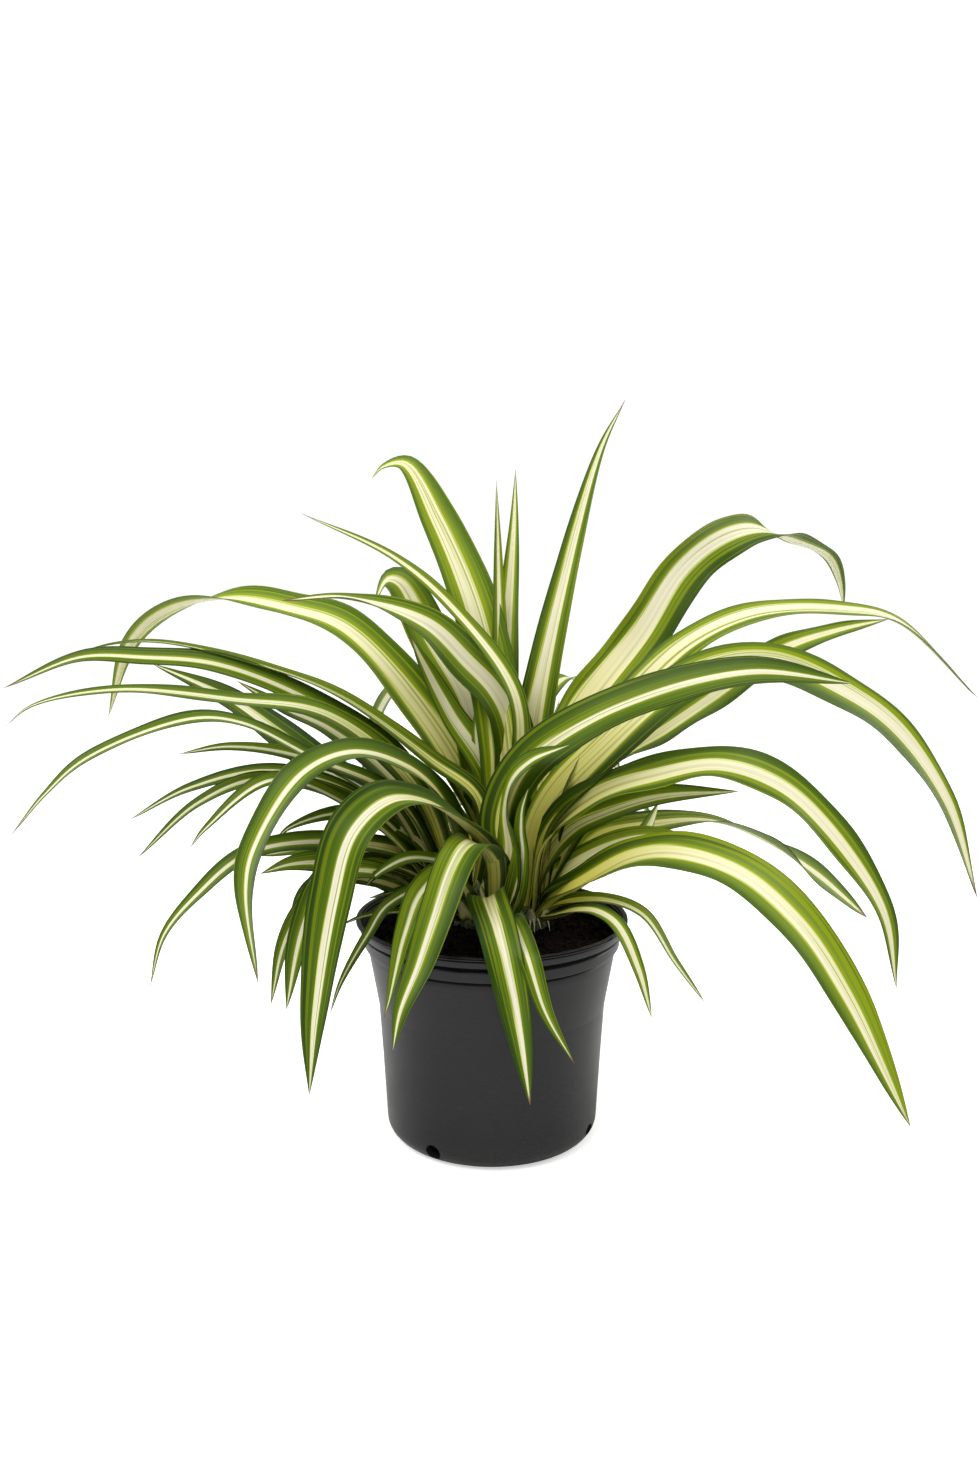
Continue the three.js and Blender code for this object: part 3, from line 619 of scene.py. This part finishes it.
def root_tips(name):
    """Rows for the short whitish roots that bend down from the foot of a crown, in front."""
    headings, stray, width, taper = (-120, -98, -80, -60, -40), 8, 1.9, 2.2
    draw = random.Random(f"{name} roots")
    rows = []
    for heading in headings:
        heading += draw.uniform(-stray, stray)
        foot, bend = [9.5, soil_top + 9], [13.5, soil_top + draw.uniform(6, 9)]
        tip = [16, soil_top + draw.uniform(1, 4)]
        rows.append([heading, width, taper, 0, 0, foot, bend, tip])
    return rows


def midrib_mesh(name, crown):
    """The midribs of one crown as chains of edges that carry what their blades need.

    right   the direction to the right, as seen from the crown
    form    half width, taper, and where the waves start
    turn    roll at the base, roll at the tip, height of the waves
    end     twist near the tip
    stripe  share of the core, how far left of the midrib its middle is, and a random tone
    finish  how young and how lit the leaf is (painted light and shade), how bleached and how old
    """
    least_wave, most_wave, usual_width, core_shift = 0.2, 0.7, 24, 0.12
    kinds = [(leaf, crown) for leaf in crown["leaves"]]
    kinds += [(leaf, SHEATH_LOOKS) for leaf in sheaths(name)]
    if name == "right":
        kinds += [(leaf, ROOT_LOOKS) for leaf in root_tips(name)]
    root = np.array([crown["x"], crown["y"], 0])
    places, edges = [], []
    values = {"right": [], "form": [], "turn": [], "end": [], "stripe": [], "finish": []}
    for row, (leaf, looks) in enumerate(kinds):
        heading, width, taper, roll_base, roll_tip, *path = leaf
        draw = random.Random(f"{name} {row}")
        angle = math.radians(heading)
        out = np.array([math.cos(angle), math.sin(angle), 0])
        right = np.array([out[1], -out[0], 0])
        start = [path[0][0] * root_share, soil_top + blade_root]
        chain = along_curve([root + out * reach + right * sum(aside) + (0, 0, height)
                             for reach, height, *aside in [start, *path]])
        edges += [(len(places) + i, len(places) + i + 1) for i in range(len(chain) - 1)]
        places += [point * mm for point in chain]
        usual_wave = draw.uniform(least_wave, most_wave) * width / usual_width
        wave = WAVED.get((name, row), usual_wave)
        core = draw.uniform(*looks["stripe"]), draw.uniform(-core_shift, core_shift)
        each = {
            "right": tuple(right),
            "form": (width / 2 * mm, taper, draw.uniform(0, 2 * math.pi)),
            "turn": (math.radians(roll_base), math.radians(roll_tip), wave * mm),
            "end": (math.radians(END_TWISTS.get((name, row), 0)), 0, 0),
            "stripe": (*STRIPES.get((name, row), core), draw.random()),
            "finish": (draw.uniform(*looks["fresh_and_lit"]), draw.random(), draw.random()),
        }
        for key, value in each.items():
            values[key] += [value] * len(chain)
    mesh = bpy.data.meshes.new(f"midribs {name}")
    mesh.from_pydata(places, edges, [])
    for key, rows in values.items():
        attribute = mesh.attributes.new(key, "FLOAT_VECTOR", "POINT")
        attribute.data.foreach_set("vector", np.array(rows, np.float32).ravel())
    return mesh


def channel(nodes, across):
    """Height across a folded blade, from -0.5 to 0.5, where the fold has a rounded bottom."""
    bottom = 0.16
    height = nodes.math("SQRT", nodes.math("MULTIPLY_ADD", across, across, bottom ** 2))
    height = nodes.math("SUBTRACT", height, bottom)
    height = nodes.math("DIVIDE", height, math.sqrt(1 + bottom ** 2) - bottom)
    return nodes.math("SUBTRACT", height, 0.5)


def ripple(nodes, across, cycle, start, size):
    """How far the margins wave up and down, each on its own."""
    apart, sharpness = 1.3, 2.5
    phase = nodes.math("MULTIPLY_ADD", nodes.math("SIGN", across), apart, start)
    wave = nodes.math("SINE", nodes.math("MULTIPLY_ADD", cycle, 2 * math.pi, phase))
    margin = nodes.math("POWER", nodes.math("ABSOLUTE", across), sharpness)
    return nodes.times(nodes.times(wave, margin), size)


def underside(nodes, along, across, side, half, thickness):
    """Depth of the blade, thin at its margins, with a keel under its midrib."""
    keel_width, keel_depth, fullness = 0.2, 0.8, 0.6
    below = nodes.math("MAXIMUM", nodes.times(side, -1.0), 0.0)
    keel = nodes.ramp(nodes.math("ABSOLUTE", across), keel_width, 0.0)
    keel = nodes.times(keel, nodes.ramp(along, 1.0, 0.0))
    depth = nodes.math("MULTIPLY_ADD", keel, keel_depth, 1.0)
    depth = nodes.times(depth, nodes.math("POWER", below, fullness))
    depth = nodes.times(depth, thickness)
    return nodes.math("MINIMUM", depth, nodes.times(half, 0.5))


def section_offset(nodes, given, kept, across, side):
    """The way from the midrib to a point of the folded section that is swept along it."""
    def field(name):
        node = nodes.add("GeometryNodeInputNamedAttribute", {"Name": name},
                         data_type="FLOAT_VECTOR")
        return node.outputs[0]

    along = kept["along"]

    # directions of the section
    right, forward = field("right"), kept["forward"]
    up = nodes.vector("NORMALIZE", nodes.vector("CROSS_PRODUCT", right, forward))
    roll_base, roll_tip, wave_height = nodes.separate(field("turn"))
    roll = nodes.ramp(along, roll_start, roll_end, roll_base, roll_tip)
    twist = nodes.separate(field("end"))[0]
    roll = nodes.math("ADD", roll, nodes.ramp(along, twist_start, twist_end, 0.0, twist))
    cosine, sine = nodes.math("COSINE", roll), nodes.math("SINE", roll)
    outward = nodes.vector("SUBTRACT", nodes.scaled(right, cosine), nodes.scaled(up, sine))
    normal = nodes.vector("ADD", nodes.scaled(up, cosine), nodes.scaled(right, sine))

    # half width and fold at this place along the blade
    widest, lateness, wave_start = nodes.separate(field("form"))
    neck = nodes.ramp(along, 0.0, neck_end, given["Neck share"], 1.0)
    taper = nodes.math("SUBTRACT", 1.0, nodes.math("POWER", along, lateness))
    full = nodes.times(nodes.times(widest, neck), taper)
    half = nodes.math("MAXIMUM", full, given["Tip"])
    fold = nodes.ramp(along, 0.0, open_end, given["Neck fold"], given["Blade fold"])
    spread = nodes.times(nodes.times(half, nodes.math("COSINE", fold)), across)

    # height over the midrib: the fold, the waved margins, and the thickness on the underside
    rise = nodes.times(nodes.times(half, nodes.math("SINE", fold)), channel(nodes, across))
    cycle = nodes.math("DIVIDE", kept["distance"], given["Wave length"])
    wave = nodes.times(ripple(nodes, across, cycle, wave_start, wave_height), taper)
    wave = nodes.times(wave, nodes.ramp(along, 0.05, 0.3))
    depth = underside(nodes, along, across, side, half, given["Thickness"])
    lift = nodes.math("SUBTRACT", nodes.math("ADD", rise, wave), depth)
    return nodes.vector("ADD", nodes.scaled(outward, spread), nodes.scaled(normal, lift))


def blade_tree():
    """Sweeps a folded, tapering section along every midrib."""
    tree, nodes, given, result = new_group(
        "strap blades", "GeometryNodeTree",
        [("Midribs", "Geometry"), ("Steps along", "Int"), ("Points round", "Int"),
         ("Neck share", "Float"), ("Neck fold", "Float"), ("Blade fold", "Float"),
         ("Thickness", "Float"), ("Tip", "Float"), ("Wave length", "Float"),
         ("Material", "Material")],
        [("Blades", "Geometry")])

    def keep(geometry, **fields):
        """Fixes fields of a geometry so that they stay with its points."""
        node = nodes.add("GeometryNodeCaptureAttribute", {"Geometry": geometry})
        for name, (kind, socket) in fields.items():
            node.capture_items.new(kind, name)
            tree.links.new(socket, node.inputs[name])
        return node.outputs

    curves = nodes.add("GeometryNodeMeshToCurve", {"Mesh": given["Midribs"]}).outputs[0]
    curves = nodes.add("GeometryNodeResampleCurve", {
        "Curve": curves, "Count": given["Steps along"]}).outputs[0]
    spline = nodes.add("GeometryNodeSplineParameter").outputs
    kept = keep(
        curves,
        along=("FLOAT", spline["Factor"]),
        distance=("FLOAT", spline["Length"]),
        middle=("VECTOR", nodes.add("GeometryNodeInputPosition").outputs[0]),
        forward=("VECTOR", nodes.add("GeometryNodeInputTangent").outputs[0]))
    ring = nodes.add("GeometryNodeCurvePrimitiveCircle", {"Resolution": given["Points round"]})
    ring = keep(ring.outputs[0], step=("FLOAT", nodes.add("GeometryNodeInputIndex").outputs[0]))
    tube = nodes.add("GeometryNodeCurveToMesh", {
        "Curve": kept["Geometry"], "Profile Curve": ring["Geometry"], "Fill Caps": True})

    # where a point is: across the blade from -1 to 1, and on its upper or under side
    turn_step = nodes.math("DIVIDE", 2 * math.pi, given["Points round"])
    angle = nodes.times(ring["step"], turn_step)
    across, side = nodes.math("COSINE", angle), nodes.math("SINE", angle)

    offset = section_offset(nodes, given, kept, across, side)
    place = nodes.vector("ADD", kept["middle"], offset)
    shape = nodes.add("GeometryNodeSetPosition", {"Geometry": tube.outputs[0], "Position": place})
    shape = shape.outputs[0]
    for name, value in (("along", kept["along"]), ("across", across), ("side", side)):
        shape = nodes.add("GeometryNodeStoreNamedAttribute", {
            "Geometry": shape, "Name": name, "Value": value}, data_type="FLOAT").outputs[0]
    for name in ("right", "form", "turn", "end"):
        inputs = {"Geometry": shape, "Name": name}
        shape = nodes.add("GeometryNodeRemoveAttribute", inputs).outputs[0]
    shape = nodes.add("GeometryNodeSetShadeSmooth", {"Geometry": shape}).outputs[0]
    shape = nodes.add("GeometryNodeRealizeInstances", {"Geometry": shape}).outputs[0]
    shape = nodes.add("GeometryNodeSetMaterial", {"Geometry": shape, "Material": given["Material"]})
    tree.links.new(shape.outputs[0], result["Blades"])
    return tree


def facing_out(mesh):
    """Turns the faces round if the closed mesh has them pointing in."""
    shape = bmesh.new()
    shape.from_mesh(mesh)
    if shape.calc_volume(signed=True) < 0:
        bmesh.ops.reverse_faces(shape, faces=shape.faces)
    shape.to_mesh(mesh)
    shape.free()
    return mesh


def make_blades(material):
    tree = blade_tree()
    values = {
        "Steps along": steps_along, "Points round": points_round,
        "Neck share": neck_share, "Neck fold": math.radians(neck_fold),
        "Blade fold": math.radians(blade_fold), "Thickness": blade_thickness * mm,
        "Tip": tip_half_width * mm, "Wave length": wave_length * mm, "Material": material,
    }
    for name, crown in CROWNS.items():
        mesh = facing_out(run_tree(tree, midrib_mesh(name, crown), values))
        add_piece(f"blades_{name}", mesh, "leaf", f"rosette_{name}")


def crown_mesh(name, crown):
    """A short stub that narrows upwards, ridged by the leaf bases wrapped round it."""
    sides, rows = 48, 14
    foot_share, narrowing, roundness = 0.9, 0.45, 2.2
    bases, base_ridge, spiral = 5, 0.07, 2.4
    veins, vein_ridge = 11, 0.04
    shape = bmesh.new()
    rings = []
    for row in range(rows + 1):
        share = row / rows
        height = soil_top - crown_sunk + share * (crown_rise + crown_sunk)
        radius = crown_radius * (foot_share - narrowing * share ** roundness)
        ring = []
        for side in range(sides):
            angle = 2 * math.pi * side / sides
            ridge = (1 + base_ridge * math.cos(bases * angle + spiral * share)
                     + vein_ridge * math.cos(veins * angle))
            ring.append(shape.verts.new((
                (crown["x"] + radius * ridge * math.cos(angle)) * mm,
                (crown["y"] + radius * ridge * math.sin(angle)) * mm,
                height * mm)))
        rings.append(ring)
    for low, high in zip(rings, rings[1:]):
        for i in range(sides):
            j = (i + 1) % sides
            shape.faces.new((low[i], low[j], high[j], high[i]))
    shape.faces.new(reversed(rings[0]))
    shape.faces.new(rings[-1])
    bmesh.ops.recalc_face_normals(shape, faces=shape.faces)
    mesh = bpy.data.meshes.new(name)
    shape.to_mesh(mesh)
    shape.free()
    mesh.shade_smooth()
    return mesh


def make_crowns(material):
    for name, crown in CROWNS.items():
        mesh = crown_mesh(name, crown)
        mesh.materials.append(material)
        add_piece(f"crown_{name}", mesh, "leaf", f"rosette_{name}")


# ---------------------------------------------------------------- pot
# (radius, height) of the corners of the wall: outside from the bottom corner up over the bands to
# the lip, and inside from the lip down to the floor
OUTER_WALL = [
    (66.9, 50), (69, 82), (74.6, 114), (74.5, 116.8), (74.1, 117.5), (74.1, 118.8), (77.4, 119.2),
    (78, 125.6), (76.5, 126.2), (76.4, 127.8), (80, 128.6), (80.8, 132.4), (80.2, 132.8),
    (80.2, 133.2), (rim_radius - 0.1, 133.6), (rim_radius, 134.4), (rim_radius - 0.6, 134.6),
    (rim_radius - 0.6, 134.9), (rim_radius - 0.1, 135.1), (rim_radius - 0.4, pot_height),
]
INNER_WALL = [
    (79.6, pot_height), (75.2, 124), (70.9, 105), (67, 82), (64.9, 50), (base_radius - wall, 10),
    (55, wall),
]
# (height, half width) of the grooves between the lip and the bands, which are darkened as painted
# shade
GROOVES = [(118, 1), (127, 0.9), (132.9, 0.6), (134.7, 0.4)]


def rounded(outline, radius, steps=4, most=0.45):
    """The outline with its corners rounded, over at most that share of each side."""
    found = [outline[0]]
    for before, corner, after in zip(outline, outline[1:], outline[2:]):
        before, corner, after = Vector(before), Vector(corner), Vector(after)
        come, go = before - corner, after - corner
        start = corner + come.normalized() * min(radius, come.length * most)
        end = corner + go.normalized() * min(radius, go.length * most)
        for step in range(steps + 1):
            t = step / steps
            point = start * (1 - t) ** 2 + corner * 2 * t * (1 - t) + end * t ** 2
            found.append(tuple(point))
    return found + [outline[-1]]


def turned(name, profile, segments, nearest=0.01):
    """A closed mesh turned from a profile of (radius, height) that starts and ends on the axis.

    Points nearer than nearest to the one before are left out.
    """
    profile = [point for before, point in zip([(-1, 0), *profile], profile)
               if math.dist(before, point) > nearest]
    places, rings, faces = [], [], []
    for radius, height in profile:
        count = segments if radius > 0 else 1
        rings.append(range(len(places), len(places) + count))
        for i in range(count):
            angle = 2 * math.pi * i / segments
            x, y = radius * math.cos(angle), radius * math.sin(angle)
            places.append((x * mm, y * mm, height * mm))
    for low, high in zip(rings, rings[1:]):
        for i in range(segments):
            j = (i + 1) % segments
            corners = [low[i % len(low)], low[j % len(low)],
                       high[j % len(high)], high[i % len(high)]]
            faces.append(list(dict.fromkeys(corners)))
    mesh = bpy.data.meshes.new(name)
    mesh.from_pydata(places, [], faces)
    return mesh


def pot_profile(corner_steps=8):
    """Half of the pot's section: its rounded bottom corner, the wall up and over, and its floor."""
    turns = [math.radians(90 * i / corner_steps) for i in range(corner_steps + 1)]
    corner = [(base_radius - corner_radius * (1 - math.sin(turn)),
               corner_radius * (1 - math.cos(turn))) for turn in turns]
    upper = rounded([corner[-1], *OUTER_WALL, *INNER_WALL, (0, wall)], edge_radius)
    return [(0, 0), *corner, *upper[1:]]


def hole_drills(length=22, sides=40):
    """Rods that stand where the drainage holes go, through the bottom corner."""
    drills = bmesh.new()
    for heading in hole_headings:
        place = Matrix.Rotation(math.radians(heading), 4, "Z")
        place @= Matrix.Translation(Vector((base_radius - hole_inset, 0, hole_height)) * mm)
        place @= Matrix.Rotation(math.radians(90 + hole_tilt), 4, "Y")
        bmesh.ops.create_cone(drills, cap_ends=True, segments=sides, radius1=hole_radius * mm,
                              radius2=hole_radius * mm, depth=length * mm, matrix=place)
    mesh = bpy.data.meshes.new("drills")
    drills.to_mesh(mesh)
    drills.free()
    return mesh


def cut_out(mesh, tool_mesh):
    """The mesh without what lies inside the tool."""
    tool = bpy.data.objects.new("tool", tool_mesh)
    body = bpy.data.objects.new("body", mesh)
    for thing in (tool, body):
        bpy.context.scene.collection.objects.link(thing)
    cut = body.modifiers.new("cut", "BOOLEAN")
    cut.operation, cut.solver, cut.object = "DIFFERENCE", "EXACT", tool
    evaluated = body.evaluated_get(bpy.context.evaluated_depsgraph_get())
    finished = bpy.data.meshes.new_from_object(evaluated)
    for thing in (tool, body):
        bpy.data.objects.remove(thing)
    return finished


def make_pot(material):
    sharp_angle = 40
    mesh = cut_out(turned("pot", pot_profile(), pot_segments), hole_drills())
    mesh.materials.clear()
    mesh.materials.append(material)
    mesh.shade_smooth()
    mesh.set_sharp_from_angle(angle=math.radians(sharp_angle))
    add_piece("pot_shell", mesh, "pot_plastic", "pot")


# ---------------------------------------------------------------- soil
def soil_mesh():
    """The filling of the pot. Its top has mounds and lumps, and drops at its edge."""
    top_radius, rings, segments = 73.6, 46, 160
    mound_size, mound_height, mound_seed = 14, 1.1, 3
    lump_size, lump_height, lump_seed = 5, 0.9, 8
    edge_start, edge_width, edge_drop = 66, 8, 1.8
    side = [(radius - soil_gap, height + soil_gap) for radius, height in reversed(INNER_WALL)
            if height < soil_top]
    top = [(top_radius * (1 - i / rings), soil_top) for i in range(rings + 1)]
    mesh = turned("soil", [(0, wall + soil_gap), *side, *top], segments)
    for vertex in mesh.vertices:
        if vertex.co.z > (soil_top - 0.5) * mm:
            x, y = vertex.co.x / mm, vertex.co.y / mm
            mound = mound_height * noise.noise((x / mound_size, y / mound_size, mound_seed))
            lump = lump_height * noise.noise((x / lump_size, y / lump_size, lump_seed))
            edge = max(0.0, (math.hypot(x, y) - edge_start) / edge_width)
            vertex.co.z += (mound + lump - edge_drop * edge ** 2) * mm
    mesh.shade_smooth()
    return mesh


def crumb_tree():
    """Scatters rough crumbs over the upward faces and joins them to the ground they lie on."""
    mostly_small, full_turn = 2.5, 6.283
    flattest, fullest = (0.6, 0.6, 0.35), (1.5, 1.0, 0.8)
    tree, nodes, given, result = new_group(
        "soil crumbs", "GeometryNodeTree",
        [("Ground", "Geometry"), ("Level", "Float"), ("Crumbs per square metre", "Float"),
         ("Smallest", "Float"), ("Largest", "Float"), ("Seed", "Int"), ("Material", "Material")],
        [("Soil", "Geometry")])
    height = nodes.separate(nodes.add("GeometryNodeInputPosition").outputs[0])[2]
    is_top = nodes.add("FunctionNodeCompare", {0: height, 1: given["Level"]},
                       data_type="FLOAT", operation="GREATER_THAN").outputs[0]
    points = nodes.add("GeometryNodeDistributePointsOnFaces", {
        "Mesh": given["Ground"], "Selection": is_top, "Density": given["Crumbs per square metre"],
        "Seed": given["Seed"]})
    crumb = nodes.add("GeometryNodeMeshIcoSphere", {"Radius": 1.0, "Subdivisions": 1})

    def draw(low, high, offset, kind="FLOAT_VECTOR"):
        """A random value of that kind between low and high, for each point."""
        first, output = {"FLOAT_VECTOR": (0, 0), "FLOAT": (2, 1)}[kind]
        inputs = {first: low, first + 1: high, "Seed": nodes.math("ADD", given["Seed"], offset)}
        return nodes.add("FunctionNodeRandomValue", inputs, data_type=kind).outputs[output]

    size = nodes.math("POWER", draw(0.0, 1.0, 1, "FLOAT"), mostly_small)
    size = nodes.add("ShaderNodeMapRange", {
        "Value": size, "To Min": given["Smallest"], "To Max": given["Largest"]}).outputs[0]
    scale = nodes.scaled(draw(flattest, fullest, 2), size)
    spin = draw((0, 0, 0), (full_turn, full_turn, full_turn), 3)
    crumbs = nodes.add("GeometryNodeInstanceOnPoints", {
        "Points": points.outputs[0], "Instance": crumb.outputs[0], "Rotation": spin,
        "Scale": scale})
    both = nodes.add("GeometryNodeJoinGeometry")
    tree.links.new(crumbs.outputs[0], both.inputs[0])
    tree.links.new(given["Ground"], both.inputs[0])
    solid = nodes.add("GeometryNodeRealizeInstances", {"Geometry": both.outputs[0]})
    dressed = nodes.add("GeometryNodeSetMaterial", {
        "Geometry": solid.outputs[0], "Material": given["Material"]})
    tree.links.new(dressed.outputs[0], result["Soil"])
    return tree


def make_soil(material):
    values = {
        "Level": (soil_top - 4) * mm, "Crumbs per square metre": 150000.0,
        "Smallest": 0.35 * mm, "Largest": 2.1 * mm, "Seed": 11, "Material": material,
    }
    add_piece("potting_mix", run_tree(crumb_tree(), soil_mesh(), values), "soil", "soil")


# ---------------------------------------------------------------- the whole
make_camera()
make_floor()
make_light()
GRAIN = grain_group()    # the one group that every material places with its own values
make_pot(pot_material())
make_soil(soil_material())
make_blades(leaf_material())
make_crowns(crown_material())
